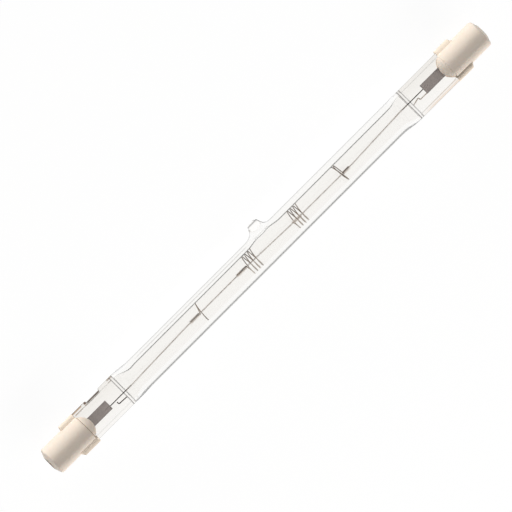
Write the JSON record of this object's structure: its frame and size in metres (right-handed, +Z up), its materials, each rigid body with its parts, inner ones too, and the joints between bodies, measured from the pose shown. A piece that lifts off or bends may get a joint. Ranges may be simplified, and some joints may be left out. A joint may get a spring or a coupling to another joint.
{
  "type": "linear halogen bulb",
  "caption": "Slim clear quartz tube bulb with flat sealed ends, cream ceramic caps with recessed contacts, a side exhaust tip and a coiled filament on wire supports.",
  "frame": {"origin": "middle of the bulb, on the axis of the tube", "axes": "+X along the tube towards the right-hand cap, +Z up, +Y to the side that the exhaust tip points to; the bulb lies on its tube and on the rim of the tip"},
  "size_m": [0.1176, 0.009, 0.0068],
  "materials": {
    "quartz_glass": "clear, fire-polished",
    "steatite_ceramic": "unglazed cream, fine matt",
    "base_cement": "pale peach, matt",
    "nickel_contact": "satin nickel",
    "molybdenum": "dull grey, etched",
    "tungsten": "dark grey drawn wire"
  },
  "bodies": {
    "root": {"quartz_envelope": "quartz_glass", "filament_coil": "tungsten", "ceramic_cap_left": "steatite_ceramic", "cap_cement_left": "base_cement", "end_contact_left": "nickel_contact", "molybdenum_foil_left": "molybdenum", "outer_lead_left": "molybdenum", "inner_lead_left": "tungsten", "lead_tail_left": "tungsten", "left_ring_support": "tungsten", "left_spiral_support": "tungsten", "ceramic_cap_right": "steatite_ceramic", "cap_cement_right": "base_cement", "end_contact_right": "nickel_contact", "molybdenum_foil_right": "molybdenum", "outer_lead_right": "molybdenum", "inner_lead_right": "tungsten", "lead_tail_right": "tungsten", "right_ring_support": "tungsten", "right_spiral_support": "tungsten"}
  },
  "joints": []
}
